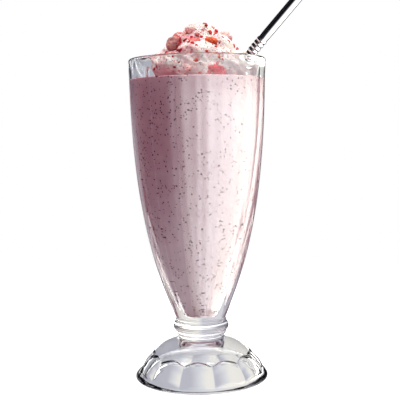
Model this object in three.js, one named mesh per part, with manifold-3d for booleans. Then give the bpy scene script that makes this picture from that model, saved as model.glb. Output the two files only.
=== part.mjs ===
// Strawberry milkshake in a fluted, footed soda glass, with whipped cream,
// freeze-dried strawberry pieces and a bent steel straw.
// Millimetres, +Z up. The origin is on the table, under the middle of the whole part. Every
// piece is made about the glass's axis first. The side that faces the viewer is -Y, and
// azimuths are counted from there towards +X.

import * as THREE from 'three';
import { mergeVertices } from 'three/addons/utils/BufferGeometryUtils.js';
import Module from 'manifold-3d';

const wasm = await Module();
wasm.setup();

// The glass, measured at its ridges
const RIM_HEIGHT = 203.2;
const RIM_RADIUS = 43.1;
const RIM_WALL = 2.9;
const BOWL_FOOT_RADIUS = 15.6;
const BOWL_FOOT_HEIGHT = 38.2;
const BOWL_FLOOR_HEIGHT = 41.8;
const BOWL_FLOOR_RADIUS = 6.8;
const BOWL_FLOOR_ROUND = 2.8;
const BEAD_RADIUS = 17.8;
const BEAD_HEIGHT = 33.6;
const BEAD_ROUND = 3.2;
const COLLAR_RADIUS = 15.2;
const COLLAR_ROUND = 1.1;
const NECK_RADIUS = 14.4;
const NECK_HEIGHT = 27.3;
const FOOT_TOP_RADIUS = 16.4;
const FOOT_TOP_HEIGHT = 25.0;
const FOOT_RADIUS = 42.5;
const FOOT_EDGE_HEIGHT = 1.6;
const CONTACT_OUTER_RADIUS = 41.2;
const CONTACT_INNER_RADIUS = 37.0;
const HOLLOW_HEIGHT = 21.0;

// Flat panels round the bowl and petals round the foot
const AROUND = 48;
const PANELS = 16;
const PANEL_RIDGE_AZIMUTH = 3.5;
const PANEL_FADE_TOP = [192.0, 198.5];
const PANEL_FADE_FOOT = [41.0, 50.0];
const PETALS = 12;
const PETAL_RIDGE_AZIMUTH = 11.0;
const PETAL_ARCH = { height: 16.8, radius: 31.0 };
const PETAL_CUSP = { height: 14.3, radius: 33.4 };
const PETAL_FADE = [2.2, 5.8];

// What is in the glass
const GAP = 0.3;
const DRINK_HEIGHT = 189.7;
const CREAM_CENTRE = new THREE.Vector3(2, 0, DRINK_HEIGHT + GAP);
const CREAM_SHARPNESS = 16;
const CREAM_AROUND = 54;
const CREAM_RINGS = 12;

// Each lobe of the whipped cream: centre x, y, z and radius
const CREAM_LOBES = [
  [2, 1, 196, 23.5], [2.5, 0, 213.5, 11.5],
  [-18.5, -8, 197, 10.6], [-14, -15.5, 197, 9.8], [-4.5, -19, 203, 8.8], [5, -19.5, 203, 8.6],
  [-4.5, -22.5, 194.5, 7.4], [5.5, -23.5, 194.5, 7.2], [16, -20, 197.5, 9.8],
  [26, -9, 197.5, 10.4], [24, 9, 197.5, 11], [8, 22, 197, 11.6], [-10, 19, 198, 11.2], [-19, 7, 197, 10],
  [-9.5, -8, 207.5, 9.6], [11, -10, 207, 9.6], [13.5, 6, 208.5, 10], [-5, 9, 209, 10.2],
];

// The straw: a long stretch, a bend, a short ribbed stretch and a smooth mouth. Its line
// is given by radius and height in the upright plane at its azimuth.
const STRAW_RADIUS = 3.0;
const STRAW_BORE = 2.5;
const STRAW_SIDES = 12;
const STRAW_AZIMUTH = 62.5;
const STRAW_END = { radius: -3.2, height: 51.0 };
const STRAW_CORNER = { radius: 34.8, height: 202.3 };
const STRAW_TILT = 45.1;
const STRAW_BEND = 7.0;
const STRAW_RIBBED = 8.1;
const STRAW_MOUTH = 40.0;
const STRAW_STEPS = [5, 10, 6, 2];
const RIB_CREST = 3.3;
const RIB_VALLEY = 2.8;

// Strawberry pieces: azimuth and elevation seen from the cream's centre, size along
// the cream, across it and through it, turn, and how far the middle stands out of the cream
const STRAWBERRY_PIECES = [
  { azimuth: 316, elevation: 43.5, size: [10.8, 9.8, 7.6], turn: 20, proud: 0.6 },
  { azimuth: 318, elevation: 75, size: [8.6, 7.6, 6.0], turn: 70, proud: -0.4 },
  { azimuth: 346, elevation: 54, size: [9.0, 9.6, 5.0], turn: 35, proud: -0.6 },
  { azimuth: 19, elevation: 45, size: [8.4, 5.8, 5.2], turn: 10, proud: 0.6 },
  { azimuth: 19.5, elevation: 7.5, size: [12.5, 6.2, 6.2], turn: 4, proud: 0.3 },
  { azimuth: 118, elevation: 56, size: [9.6, 8.4, 6.4], turn: 50, proud: 0.6 },
  { azimuth: 196, elevation: 40, size: [10.4, 8.0, 6.8], turn: 100, proud: 0.6 },
  { azimuth: 246, elevation: 62, size: [8.6, 7.0, 6.0], turn: 10, proud: 0.6 },
];
const CRUMB_COUNT = 32;
const CRUMB_SIZE = [1.5, 3.0];
const CRUMB_CLEARANCE = 1.0;
const PIECE_GAP = 0.4;

const GLASS = new THREE.MeshStandardMaterial({ color: 0xf2f6f7, roughness: 0.04, metalness: 0 });
const DRINK = new THREE.MeshStandardMaterial({ color: 0xd9b7bf, roughness: 0.45, metalness: 0 });
const CREAM = new THREE.MeshStandardMaterial({ color: 0xf8efe6, roughness: 0.6, metalness: 0 });
const STRAWBERRY = new THREE.MeshStandardMaterial({ color: 0xcf4a58, roughness: 0.75, metalness: 0 });
const STEEL = new THREE.MeshStandardMaterial({ color: 0xc4c6c8, roughness: 0.15, metalness: 1 });

const rad = THREE.MathUtils.degToRad;

// Repeatable random numbers from 0 to 1
function randomSource(seed) {
  let state = seed;
  return () => {
    state = (state * 1664525 + 1013904223) % 4294967296;
    return state / 4294967296;
  };
}

// Points of a cubic curve through two ends with two handles, without its first point
function cubicPoints(ends, count) {
  const [a, b, c, d] = ends.map(([r, z]) => new THREE.Vector2(r, z));
  return new THREE.CubicBezierCurve(a, b, c, d).getPoints(count).slice(1);
}

// Points of an arc in the radius and height plane, angles in degrees from outwards
function arcPoints(radius, height, size, from, to, count) {
  const points = [];
  for (let i = 0; i <= count; i += 1) {
    const angle = rad(from + (to - from) * i / count);
    points.push(new THREE.Vector2(radius + size * Math.cos(angle), height + size * Math.sin(angle)));
  }
  return points;
}

// The azimuth of a point, in degrees from the viewer's side towards +X
function azimuthOf(x, y) {
  return THREE.MathUtils.radToDeg(Math.atan2(x, -y));
}

// The point at an azimuth, radius and height
function place(azimuth, radius, height) {
  return new THREE.Vector3(radius * Math.sin(rad(azimuth)), -radius * Math.cos(rad(azimuth)), height);
}

// How far an azimuth is from the middle of its facet, in radians
function facetAngle(azimuth, ridge, count) {
  const width = 360 / count;
  const local = THREE.MathUtils.euclideanModulo(azimuth - ridge, width) - width / 2;
  return rad(local);
}

// Radius of the flat panel that stands in for a round of this radius
function flatRadius(radius, azimuth, ridge, count) {
  return radius * Math.cos(Math.PI / count) / Math.cos(facetAngle(azimuth, ridge, count));
}

// The bowl's panels, faded out below the lip and above the beads
function bowlRadius(radius, height, azimuth) {
  const low = THREE.MathUtils.smoothstep(height, ...PANEL_FADE_FOOT);
  const high = 1 - THREE.MathUtils.smoothstep(height, ...PANEL_FADE_TOP);
  const flat = flatRadius(radius, azimuth, PANEL_RIDGE_AZIMUTH, PANELS);
  return THREE.MathUtils.lerp(radius, flat, low * high);
}

// The foot's petals: flat below the cusps, ending in an arch on the round foot above and
// fading into the round edge below
function petalRadius(radius, height, azimuth) {
  const middle = Math.cos(Math.PI / PETALS);
  const flat = flatRadius(radius, azimuth, PETAL_RIDGE_AZIMUTH, PETALS);
  if (height <= PETAL_CUSP.height) {
    return THREE.MathUtils.lerp(radius, flat, THREE.MathUtils.smoothstep(height, ...PETAL_FADE));
  }
  const rise = (height - PETAL_CUSP.height) / (PETAL_ARCH.height - PETAL_CUSP.height);
  const plane = THREE.MathUtils.lerp(PETAL_CUSP.radius * middle, PETAL_ARCH.radius, rise);
  const angle = facetAngle(azimuth, PETAL_RIDGE_AZIMUTH, PETALS);
  return Math.min(radius, plane / Math.cos(angle));
}

// Keeps position only, merges shared vertices and drops triangles without area
function weld(geometry) {
  geometry.deleteAttribute('normal');
  geometry.deleteAttribute('uv');
  const welded = mergeVertices(geometry, 1e-4);
  const index = welded.getIndex().array;
  const kept = [];
  for (let i = 0; i < index.length; i += 3) {
    const [a, b, c] = [index[i], index[i + 1], index[i + 2]];
    if (a !== b && b !== c && c !== a) kept.push(a, b, c);
  }
  welded.setIndex(kept);
  return welded;
}

// A geometry as a solid that can be joined and cut
function solidOf(geometry) {
  const welded = weld(geometry);
  return new wasm.Manifold(new wasm.Mesh({
    numProp: 3,
    vertProperties: Float32Array.from(welded.getAttribute('position').array),
    triVerts: Uint32Array.from(welded.getIndex().array),
  }));
}

// A solid back as a geometry
function geometryOf(solid) {
  const mesh = solid.getMesh();
  const geometry = new THREE.BufferGeometry();
  geometry.setAttribute('position', new THREE.BufferAttribute(mesh.vertProperties, 3));
  geometry.setIndex(new THREE.BufferAttribute(mesh.triVerts, 1));
  return geometry;
}

// A lathed solid about Z with vertices on the ridges of the panels. Each stretch of the
// profile can have its own way to turn a round radius into the radius at an azimuth.
function lathe(stretches) {
  const profile = stretches.flatMap((stretch) => stretch.points);
  const shapes = stretches.flatMap((stretch) => stretch.points.map(() => stretch.shape));
  const geometry = new THREE.LatheGeometry(profile, AROUND, rad(PANEL_RIDGE_AZIMUTH));
  geometry.rotateX(Math.PI / 2);
  const position = geometry.getAttribute('position');
  for (let i = 0; i < position.count; i += 1) {
    const shape = shapes[i % profile.length];
    const radius = profile[i % profile.length].x;
    if (shape) {
      const azimuth = azimuthOf(position.getX(i), position.getY(i));
      const point = place(azimuth, shape(radius, position.getZ(i), azimuth), position.getZ(i));
      position.setXY(i, point.x, point.y);
    }
  }
  return solidOf(geometry);
}

// Inner wall of the bowl, from the middle of its floor up to a height. The drink is the
// same shape, smaller by an inset.
function innerWall(inset, top) {
  const edge = BOWL_FLOOR_RADIUS - inset;
  const inner = RIM_RADIUS - RIM_WALL - inset;
  const round = arcPoints(edge - BOWL_FLOOR_ROUND, BOWL_FLOOR_HEIGHT + inset + BOWL_FLOOR_ROUND,
    BOWL_FLOOR_ROUND, -90, -20, 3);
  const start = round[round.length - 1];
  const wall = cubicPoints([
    [start.x, start.y], [19.5 - inset, 75], [inner, 118], [inner, RIM_HEIGHT - RIM_WALL / 2],
  ], 9);
  const kept = wall.filter((point) => point.y < top);
  const below = kept[kept.length - 1];
  const above = wall[kept.length];
  const end = below.clone().lerp(above, (top - below.y) / (above.y - below.y));
  return [new THREE.Vector2(0, round[0].y), ...round, ...kept, end];
}

// The glass in one profile: bowl inside, lip, bowl outside, beads, foot, and hollow below
function makeGlass() {
  const lip = RIM_WALL / 2;
  const edge = RIM_HEIGHT - lip;
  const bowl = cubicPoints([
    [RIM_RADIUS, edge], [RIM_RADIUS, 107], [27.8, 66.9], [BOWL_FOOT_RADIUS, BOWL_FOOT_HEIGHT],
  ], 12);
  const foot = cubicPoints([
    [FOOT_TOP_RADIUS, FOOT_TOP_HEIGHT], [26.2, 22.4], [35.5, 14.9], [FOOT_RADIUS, FOOT_EDGE_HEIGHT],
  ], 8);
  const hollow = cubicPoints([
    [0, HOLLOW_HEIGHT], [14, HOLLOW_HEIGHT], [31, 17], [CONTACT_INNER_RADIUS, 0],
  ], 8);
  return lathe([
    { points: [new THREE.Vector2(0, HOLLOW_HEIGHT), ...hollow] },
    { points: [new THREE.Vector2(CONTACT_OUTER_RADIUS, 0), ...foot.reverse()], shape: petalRadius },
    { points: [new THREE.Vector2(FOOT_TOP_RADIUS, FOOT_TOP_HEIGHT), new THREE.Vector2(NECK_RADIUS, NECK_HEIGHT)] },
    { points: arcPoints(COLLAR_RADIUS, 29.6, COLLAR_ROUND, -50, 30, 2) },
    { points: arcPoints(BEAD_RADIUS - BEAD_ROUND, BEAD_HEIGHT, BEAD_ROUND, -70, 70, 6) },
    { points: arcPoints(COLLAR_RADIUS, 37.3, COLLAR_ROUND, -30, 40, 2) },
    { points: bowl.reverse(), shape: bowlRadius },
    { points: arcPoints(RIM_RADIUS - lip, edge, lip, 0, 135, 3) },
    { points: innerWall(0, edge).reverse() },
  ]);
}

// How far the cream reaches from its centre in a direction, as a smooth union of its lobes
function creamReach(direction) {
  let sum = 0;
  for (const [x, y, z, radius] of CREAM_LOBES) {
    const offset = new THREE.Vector3(x, y, z).sub(CREAM_CENTRE);
    const along = offset.dot(direction);
    const beside = offset.lengthSq() - along * along;
    const reach = along + Math.sqrt(Math.max(radius * radius - beside, 0));
    sum += Math.max(reach, 0) ** CREAM_SHARPNESS;
  }
  return sum ** (1 / CREAM_SHARPNESS);
}

// A direction from its azimuth and elevation in degrees
function direction(azimuth, elevation) {
  return place(azimuth, Math.cos(rad(elevation)), Math.sin(rad(elevation)));
}

// The mound of whipped cream with a flat underside, without its crumbs
function makeMound() {
  const geometry = new THREE.SphereGeometry(1, CREAM_AROUND, CREAM_RINGS, 0, 2 * Math.PI, 0, Math.PI / 2);
  geometry.rotateX(Math.PI / 2);
  const dome = geometry.getAttribute('position');
  for (let i = 0; i < dome.count; i += 1) {
    const ray = new THREE.Vector3().fromBufferAttribute(dome, i).normalize();
    if (Math.abs(ray.z) < 1e-6) ray.z = 0;
    const point = ray.clone().multiplyScalar(creamReach(ray)).add(CREAM_CENTRE);
    dome.setXYZ(i, point.x, point.y, point.z);
  }
  const index = Array.from(geometry.getIndex().array);
  const rim = CREAM_RINGS * (CREAM_AROUND + 1);
  for (let i = 1; i < CREAM_AROUND - 1; i += 1) index.push(rim, rim + i + 1, rim + i);
  geometry.setIndex(index);
  return solidOf(geometry);
}

// A lump with uneven sides: a round of few faces, stretched, dented and turned
function makeLump(size, detail, unevenness, random) {
  const geometry = weld(new THREE.IcosahedronGeometry(0.5, detail));
  const position = geometry.getAttribute('position');
  for (let i = 0; i < position.count; i += 1) {
    const scale = 1 + unevenness * (2 * random() - 1);
    position.setXYZ(i, position.getX(i) * scale, position.getY(i) * scale, position.getZ(i) * scale);
  }
  geometry.scale(...size);
  return geometry;
}

// Lays a lump on the cream, its third side out of the cream, and returns where it is
function layOnCream(geometry, azimuth, elevation, turn, proud) {
  const out = direction(azimuth, elevation);
  const middle = out.clone().multiplyScalar(creamReach(out) + proud).add(CREAM_CENTRE);
  geometry.rotateZ(rad(turn));
  geometry.applyQuaternion(new THREE.Quaternion().setFromUnitVectors(new THREE.Vector3(0, 0, 1), out));
  geometry.translate(middle.x, middle.y, middle.z);
  return middle;
}

// The strawberry pieces, and the same pieces with the gap round them that the cream keeps
function makePieces() {
  const random = randomSource(17);
  return STRAWBERRY_PIECES.map((piece) => {
    const lump = makeLump(piece.size, 1, 0.1, random);
    const hollow = lump.clone();
    const sizes = piece.size.map((size) => (size + 2 * PIECE_GAP) / size);
    hollow.scale(...sizes);
    const middle = layOnCream(lump, piece.azimuth, piece.elevation, piece.turn, piece.proud);
    layOnCream(hollow, piece.azimuth, piece.elevation, piece.turn, piece.proud);
    return { middle, reach: Math.max(...piece.size) / 2, solid: solidOf(lump), hollow: solidOf(hollow) };
  });
}

// Crumbs that lie on the mound, away from the straw and the larger pieces
function makeCrumbs(pieces, straw) {
  const random = randomSource(5);
  const crumbs = [];
  while (crumbs.length < CRUMB_COUNT) {
    const azimuth = 360 * random();
    const elevation = 12 + 74 * Math.sqrt(random());
    const size = THREE.MathUtils.lerp(...CRUMB_SIZE, random());
    const lump = makeLump([size, size * 0.8, size * 0.7], 0, 0.15, random);
    const middle = layOnCream(lump, azimuth, elevation, 360 * random(), 0.1);
    const near = pieces.some((piece) => piece.middle.distanceTo(middle) < piece.reach + size + CRUMB_CLEARANCE);
    const solid = solidOf(lump);
    if (!near && solid.intersect(straw).isEmpty()) crumbs.push(solid);
  }
  return crumbs;
}

// The straw's middle line. Its steps are even along each stretch, and two of them make
// a rib in the bend and the ribbed stretch.
class StrawPath extends THREE.Curve {
  constructor() {
    super();
    const [end, corner] = [STRAW_END, STRAW_CORNER].map((spot) => place(STRAW_AZIMUTH, spot.radius, spot.height));
    const lean = direction(STRAW_AZIMUTH, STRAW_TILT);
    const start = corner.clone().add(end.clone().sub(corner).setLength(STRAW_BEND));
    const bent = corner.clone().addScaledVector(lean, STRAW_BEND);
    const ribbed = bent.clone().addScaledVector(lean, STRAW_RIBBED);
    this.stretches = [
      new THREE.LineCurve3(end, start),
      new THREE.QuadraticBezierCurve3(start, corner, bent),
      new THREE.LineCurve3(bent, ribbed),
      new THREE.LineCurve3(ribbed, ribbed.clone().addScaledVector(lean, STRAW_MOUTH)),
    ];
    this.steps = STRAW_STEPS.reduce((sum, count) => sum + count, 0);
  }

  getPoint(t) {
    let step = t * this.steps;
    let stretch = 0;
    while (step > STRAW_STEPS[stretch] && stretch < STRAW_STEPS.length - 1) {
      step -= STRAW_STEPS[stretch];
      stretch += 1;
    }
    return this.stretches[stretch].getPoint(step / STRAW_STEPS[stretch]);
  }

  getUtoTmapping(u) {
    return u;
  }
}

// A round rod along the straw's path, whose radius is a function of the step
function makeRod(path, radiusAt) {
  const circle = new THREE.Shape().absarc(0, 0, 1, 0, 2 * Math.PI);
  const section = new THREE.Shape(circle.getSpacedPoints(STRAW_SIDES).slice(0, STRAW_SIDES));
  const geometry = new THREE.ExtrudeGeometry(section, { steps: path.steps, extrudePath: path });
  const position = geometry.getAttribute('position');
  const middles = path.getSpacedPoints(path.steps);
  for (let i = 0; i < position.count; i += 1) {
    const point = new THREE.Vector3().fromBufferAttribute(position, i);
    const offBy = middles.map((middle) => Math.abs(middle.distanceTo(point) - 1));
    const step = offBy.indexOf(Math.min(...offBy));
    point.sub(middles[step]).setLength(radiusAt(step)).add(middles[step]);
    position.setXYZ(i, point.x, point.y, point.z);
  }
  return solidOf(geometry);
}

// Outer radius of the straw at a step: crests and valleys where it is ribbed
function strawRadius(step) {
  const [first, bend, ribbed] = STRAW_STEPS;
  const rib = step - first;
  if (rib < 0 || rib > bend + ribbed) return STRAW_RADIUS;
  return rib % 2 === 1 ? RIB_CREST : RIB_VALLEY;
}

// Adds a named piece to the group
function addPiece(group, name, solid, material) {
  const mesh = new THREE.Mesh(geometryOf(solid), material);
  mesh.name = name;
  group.add(mesh);
}

const strawPath = new StrawPath();
const strawTunnel = makeRod(strawPath, () => RIB_CREST + GAP);
const straw = makeRod(strawPath, strawRadius).subtract(makeRod(strawPath, () => STRAW_BORE));
const pieces = makePieces();
const drink = lathe([{ points: [...innerWall(GAP, DRINK_HEIGHT), new THREE.Vector2(0, DRINK_HEIGHT)] }]);

let cream = makeMound();
for (const crumb of makeCrumbs(pieces, strawTunnel)) cream = cream.add(crumb);
for (const piece of pieces) cream = cream.subtract(piece.hollow);

const milkshake = new THREE.Group();
addPiece(milkshake, 'glass', makeGlass(), GLASS);
addPiece(milkshake, 'milkshake', drink.subtract(strawTunnel), DRINK);
addPiece(milkshake, 'whipped_cream', cream.subtract(strawTunnel), CREAM);
addPiece(milkshake, 'straw', straw, STEEL);
pieces.forEach((piece, i) => addPiece(milkshake, `strawberry_piece_${i + 1}`, piece.solid, STRAWBERRY));

// The whole part, straw included, stands centred over its origin
const middle = new THREE.Box3().setFromObject(milkshake).getCenter(new THREE.Vector3());
milkshake.position.set(-middle.x, -middle.y, 0);

export default milkshake;
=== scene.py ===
"""Strawberry milkshake in a fluted soda glass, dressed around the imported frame.

The strawberry pieces are made from the frame's own nodes, and grains are strewn over finished
pieces. Every other mesh of the part is worked out in millimetres about the glass's axis and laid
into the frame's metres by make_object. Azimuths are counted in degrees from the viewer's side
(-Y) to +X.
"""

import logging
import math
from dataclasses import dataclass
from enum import Enum
from typing import Callable, Optional, Union

import bmesh
import bpy
import numpy as np
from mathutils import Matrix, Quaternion, Vector, noise


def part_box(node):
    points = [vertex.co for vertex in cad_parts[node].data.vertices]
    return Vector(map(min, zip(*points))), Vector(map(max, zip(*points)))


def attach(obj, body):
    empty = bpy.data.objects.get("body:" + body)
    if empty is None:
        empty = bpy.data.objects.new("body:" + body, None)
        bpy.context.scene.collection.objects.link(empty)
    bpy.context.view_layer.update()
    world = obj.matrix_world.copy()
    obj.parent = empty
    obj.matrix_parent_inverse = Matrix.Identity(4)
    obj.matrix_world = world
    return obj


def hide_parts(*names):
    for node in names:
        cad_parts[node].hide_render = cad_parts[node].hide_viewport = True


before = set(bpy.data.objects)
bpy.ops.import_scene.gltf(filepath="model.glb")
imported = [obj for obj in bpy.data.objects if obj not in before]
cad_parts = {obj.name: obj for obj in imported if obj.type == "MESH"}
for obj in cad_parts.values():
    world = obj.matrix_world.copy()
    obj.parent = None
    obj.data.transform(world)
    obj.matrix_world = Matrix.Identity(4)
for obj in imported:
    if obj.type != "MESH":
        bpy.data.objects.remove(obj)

LOG = logging.getLogger("milkshake")
MM = 0.001
ROOT = "root"
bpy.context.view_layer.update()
Array = np.ndarray
Material = bpy.types.Material
Object = bpy.types.Object
Socket = bpy.types.NodeSocket
Tree = bpy.types.NodeTree
Value = Union[Socket, float, tuple]
Shape = Callable[[Array, Array, Array], Array]


def axis_of(node: str) -> Vector:
    """Gives the point at height 0 on a round node's upright axis, in metres."""
    low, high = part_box(node)
    return Vector(((low.x + high.x) / 2, (low.y + high.y) / 2, 0.0))


AXIS = axis_of("glass")


def linear(code: str) -> tuple[float, float, float, float]:
    """Turns an sRGB colour of six hex digits to Blender's linear red, green, blue and alpha."""
    values = [int(code[i:i + 2], 16) / 255 for i in (0, 2, 4)]
    return (*(v / 12.92 if v <= 0.04045 else ((v + 0.055) / 1.055) ** 2.4 for v in values), 1.0)


def per_metre(size_mm: float) -> float:
    """Gives the texture scale whose features are about this many millimetres."""
    return 1.0 / (size_mm * MM)


def add_node(tree: Tree, kind: str, inputs: Optional[dict] = None, **settings) -> bpy.types.Node:
    """Adds a node with its settings and its values or links.

    Args:
        tree: The tree that the node joins.
        kind: The node's type.
        inputs: Input name or number to a value, or to the output that feeds it.
        **settings: The node's own properties.

    Returns:
        The new node.
    """
    made = tree.nodes.new(kind)
    for name, value in settings.items():
        setattr(made, name, value)
    for name, value in (inputs or {}).items():
        socket = made.inputs[name]
        if isinstance(value, bpy.types.NodeSocket):
            tree.links.new(value, socket)
        else:
            socket.default_value = value
    return made


def maths(tree: Tree, operation: str, *values: Value, clamp: bool = False) -> Socket:
    """Adds a step on numbers and gives its result."""
    inputs = dict(enumerate(values))
    return add_node(tree, "ShaderNodeMath", inputs, operation=operation, use_clamp=clamp).outputs[0]


def vector_maths(tree: Tree, operation: str, first: Value, second: Value = (0.0, 0.0, 0.0)) -> Socket:
    """Adds a step on vectors.

    Args:
        tree: The tree that it joins.
        operation: Which step.
        first: The first vector.
        second: The second vector, or the number that a SCALE step multiplies by.

    Returns:
        The vector, or the number where a step gives one.
    """
    other = "Scale" if operation == "SCALE" else 1
    made = add_node(tree, "ShaderNodeVectorMath", {0: first, other: second}, operation=operation)
    return made.outputs["Value" if operation in ("DOT_PRODUCT", "LENGTH") else "Vector"]


def ranged(tree: Tree, value: Value, low: float, high: float, start: float = 0.0, end: float = 1.0,
           curve: str = "LINEAR") -> Socket:
    """Adds a ramp that runs from start, where the value is low, to end, where it is high."""
    return add_node(tree, "ShaderNodeMapRange", {
        "Value": value, "From Min": low, "From Max": high, "To Min": start, "To Max": end},
        interpolation_type=curve).outputs[0]


def choose(tree: Tree, share: Value, low: Value, high: Value) -> Socket:
    """Adds a mix of two numbers and gives its result."""
    return add_node(tree, "ShaderNodeMix", {0: share, 2: low, 3: high}, data_type="FLOAT").outputs[0]


def blend(tree: Tree, share: Value, low: Union[Socket, str], high: Union[Socket, str]) -> Socket:
    """Adds a mix of two colours, each an output or six hex digits, and gives its result."""
    first, second = (linear(tone) if isinstance(tone, str) else tone for tone in (low, high))
    return add_node(tree, "ShaderNodeMix", {0: share, 6: first, 7: second}, data_type="RGBA").outputs[2]


def speckle(tree: Tree, spot: Socket, size_mm: float, detail: float = 2.0, rough: float = 0.5) -> Socket:
    """Adds cloudy noise of about a size and gives its value."""
    inputs = {"Vector": spot, "Scale": per_metre(size_mm), "Detail": detail, "Roughness": rough}
    return add_node(tree, "ShaderNodeTexNoise", inputs).outputs[0]


def cells(tree: Tree, spot: Socket, size_mm: float) -> Socket:
    """Adds cells of about a size and gives the distance from their middles."""
    inputs = {"Vector": spot, "Scale": per_metre(size_mm)}
    return add_node(tree, "ShaderNodeTexVoronoi", inputs).outputs["Distance"]


def bumped(tree: Tree, height: Socket, depth_mm: float, strength: float) -> Socket:
    """Adds a bump of a depth and gives its normal."""
    inputs = {"Height": height, "Distance": depth_mm * MM, "Strength": strength}
    return add_node(tree, "ShaderNodeBump", inputs).outputs[0]


def new_material(name: str) -> tuple[Material, Tree, Socket]:
    """Makes an empty node material.

    Args:
        name: The material's name.

    Returns:
        The material, its tree and the place on the object that its textures follow.
    """
    material = bpy.data.materials.new(name)
    material.use_nodes = True
    tree = material.node_tree
    tree.nodes.clear()
    return material, tree, add_node(tree, "ShaderNodeTexCoord").outputs["Object"]


def cover(tree: Tree, inputs: dict) -> None:
    """Makes a principled shader with these inputs the material's surface."""
    shader = add_node(tree, "ShaderNodeBsdfPrincipled", inputs)
    add_node(tree, "ShaderNodeOutputMaterial", {0: shader.outputs[0]})


def cover_in_part(tree: Tree, share: Socket, solid: bpy.types.Node, clear: bpy.types.Node) -> None:
    """Makes a mix of two shaders the material's surface, all clear where the share is 1."""
    mixed = add_node(tree, "ShaderNodeMixShader", {0: share, 1: solid.outputs[0], 2: clear.outputs[0]})
    add_node(tree, "ShaderNodeOutputMaterial", {0: mixed.outputs[0]})


def shown(name: str, data: bpy.types.ID) -> Object:
    """Makes an object of a mesh or camera and adds it to the scene.

    Args:
        name: The object's name.
        data: Its mesh or camera.

    Returns:
        The object.
    """
    made = bpy.data.objects.new(name, data)
    bpy.context.scene.collection.objects.link(made)
    return made


def make_object(name: str, points: Array, faces: list, material: Material) -> Object:
    """Makes a smooth-shaded object of points in millimetres about the glass's axis.

    Args:
        name: The object's name.
        points: One row of x, y, z for each point.
        faces: Lists of point numbers.
        material: Its material.

    Returns:
        The object, at the origin, with its place in its mesh.
    """
    mesh = bpy.data.meshes.new(name)
    mesh.from_pydata((points * MM + np.array(AXIS)).tolist(), [], faces)
    mesh.update()
    mesh.shade_smooth()
    mesh.materials.append(material)
    return shown(name, mesh)


def place(azimuth: float, radius: float, height: float) -> Array:
    """Gives the point at an azimuth in degrees, a radius and a height."""
    turn = math.radians(azimuth)
    return np.array((radius * math.sin(turn), -radius * math.cos(turn), height))


def way_of(azimuth: float, elevation: float) -> Array:
    """Gives the unit direction at an azimuth and an elevation in degrees."""
    return place(azimuth, math.cos(math.radians(elevation)), math.sin(math.radians(elevation)))


def cubic(a: tuple, b: tuple, c: tuple, d: tuple, count: int) -> Array:
    """Gives points of a cubic curve.

    Args:
        a: First end, as radius and height.
        b: First handle.
        c: Second handle.
        d: Second end.
        count: How many steps.

    Returns:
        One row of radius and height for each point.
    """
    t = np.linspace(0, 1, count + 1)[:, None]
    shares = ((1 - t) ** 3, 3 * t * (1 - t) ** 2, 3 * t * t * (1 - t), t ** 3)
    return sum(share * np.array(point, float) for share, point in zip(shares, (a, b, c, d)))


def arc(radius: float, height: float, size: float, start: float, end: float, count: int) -> Array:
    """Gives an arc's points, as radius and height, between two angles in degrees from outwards."""
    angles = np.radians(np.linspace(start, end, count + 1))
    return np.stack([radius + size * np.cos(angles), height + size * np.sin(angles)], 1)


def smoothstep(values: Array, low: float, high: float) -> Array:
    """Runs smoothly from 0 at low to 1 at high."""
    t = np.clip((values - low) / (high - low), 0, 1)
    return t * t * (3 - 2 * t)


def column_faces(column: int, rings: int, count: int, first: int) -> list[tuple]:
    """Gives the faces between one column of a shell's points and the next.

    Args:
        column: Which column.
        rings: How many rings of points the shell has.
        count: How many points a ring has.
        first: The lowest ring's first point.

    Returns:
        Four point numbers for each face, from the lowest up.
    """
    beside = (column + 1) % count
    lows = range(first, first + (rings - 1) * count, count)
    return [(low + column, low + beside, low + count + beside, low + count + column) for low in lows]


def revolve(name: str, stretches: list[tuple[Array, Optional[Shape]]], azimuths: Array,
            material: Material) -> Object:
    """Turns a profile about the glass's axis into one closed shell.

    Args:
        name: The object's name.
        stretches: Profile points from the axis to the axis, outer side upwards, each with
            a function that turns a round radius into the radius at an azimuth, or None.
        azimuths: Where the copies of the profile stand, in degrees.
        material: The shell's material.

    Returns:
        The shell.
    """
    rings = [(radius, height, shape) for points, shape in stretches for radius, height in points]
    turns = np.radians(azimuths)
    count = len(azimuths)
    rows = [np.array([[0.0, 0.0, rings[0][1]]])]
    for radius, height, shape in rings[1:-1]:
        radii, heights = np.full(count, radius), np.full(count, height)
        reach = shape(radii, heights, azimuths) if shape else radii
        rows.append(np.stack([reach * np.sin(turns), -reach * np.cos(turns), heights], 1))
    rows.append(np.array([[0.0, 0.0, rings[-1][1]]]))
    points = np.concatenate(rows)
    last = len(points) - 1
    faces = []
    for i in range(count):
        j = (i + 1) % count
        faces.append((0, 1 + j, 1 + i))
        faces.extend(column_faces(i, len(rows) - 2, count, 1))
        faces.append((last - count + i, last - count + j, last))
    return make_object(name, points, faces, material)


def bake_nodes(host: Object, name: str, material: Material) -> Object:
    """Turns what a host's modifiers make into a plain mesh of its own, and removes the host.

    Args:
        host: The object that carries the modifier.
        name: The new object's name.
        material: The material to leave on it.

    Returns:
        The new object.
    """
    graph = bpy.context.evaluated_depsgraph_get()
    mesh = bpy.data.meshes.new_from_object(host.evaluated_get(graph))
    mesh.name = name
    mesh.materials.clear()
    mesh.materials.append(material)
    mesh.polygons.foreach_set("material_index", [0] * len(mesh.polygons))
    host.modifiers.clear()
    bpy.data.objects.remove(host)
    return shown(name, mesh)


def dress(piece: Object, slot: str, *nodes: str) -> None:
    """Lets a piece ride with the part and hides the nodes it stands for.

    Args:
        piece: The finished piece.
        slot: Not used.
        *nodes: CAD nodes that it replaces.
    """
    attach(piece, ROOT)
    if nodes:
        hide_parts(*nodes)
    LOG.info("%s: %d faces", piece.name, len(piece.data.polygons))


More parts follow.
